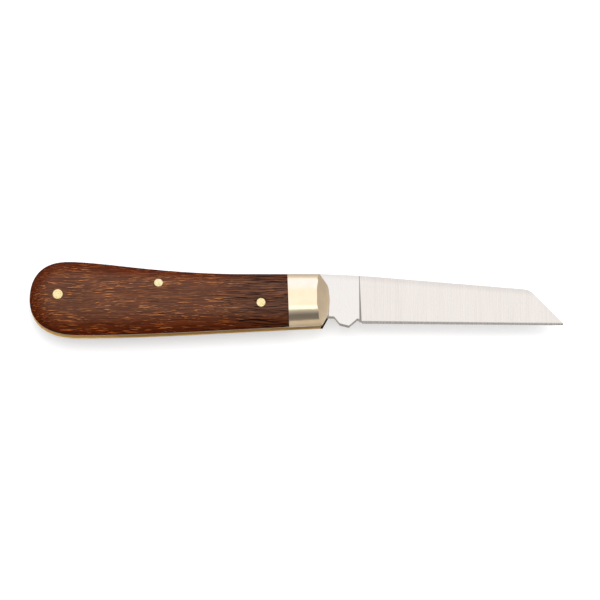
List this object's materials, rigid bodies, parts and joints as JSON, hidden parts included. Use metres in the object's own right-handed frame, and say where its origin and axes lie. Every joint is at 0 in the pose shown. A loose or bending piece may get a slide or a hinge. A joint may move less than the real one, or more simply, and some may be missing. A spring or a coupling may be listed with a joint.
{
  "type": "slip-joint folding knife",
  "caption": "Slip-joint folding pocket knife with a lambfoot blade, brass liners, nickel silver bolsters and pinned hardwood scales, lying open.",
  "frame": {"origin": "where the blade pivot's axis meets the plane that the open knife rests on", "axes": "+X along the open blade towards its point, +Y towards the blade's spine and the backspring, +Z out of the pile side, up from the rest plane"},
  "size_m": [0.1735, 0.0251, 0.012],
  "materials": {
    "blade_steel": "satin ground across the blade",
    "spring_steel": "satin",
    "hardwood": "oiled red-brown hardwood with short open pores",
    "nickel_silver": "polished pale yellow nickel silver",
    "liner_brass": "ground flush at the edges",
    "pin_brass": "ground flush with the wood"
  },
  "bodies": {
    "handle": {"pile_scale": "hardwood", "mark_scale": "hardwood", "pile_bolster": "nickel_silver", "mark_bolster": "nickel_silver", "pile_liner": "liner_brass", "mark_liner": "liner_brass", "pivot_pin": "nickel_silver", "spring_centre_pin": "pin_brass", "spring_end_pin": "pin_brass", "pile_scale_pin": "pin_brass", "mark_scale_pin": "pin_brass"},
    "blade": {"blade": "blade_steel"},
    "backspring": {"backspring": "spring_steel"}
  },
  "joints": [
    {"name": "blade_fold", "type": "hinge", "parent": "handle", "child": "blade", "pos_m": [0, 0, 0.006], "axis": [0, 0, -1], "range_deg": [0, 170], "deforming": ["backspring"]},
    {"name": "spring_flex", "type": "hinge", "parent": "handle", "child": "backspring", "pos_m": [-0.0482, 0.0046, 0.006], "axis": [0, 0, 1], "range_deg": [0, 0.6], "stiffness_Nm_per_rad": 4, "springref_deg": -2.86, "deforming": ["backspring"]}
  ]
}
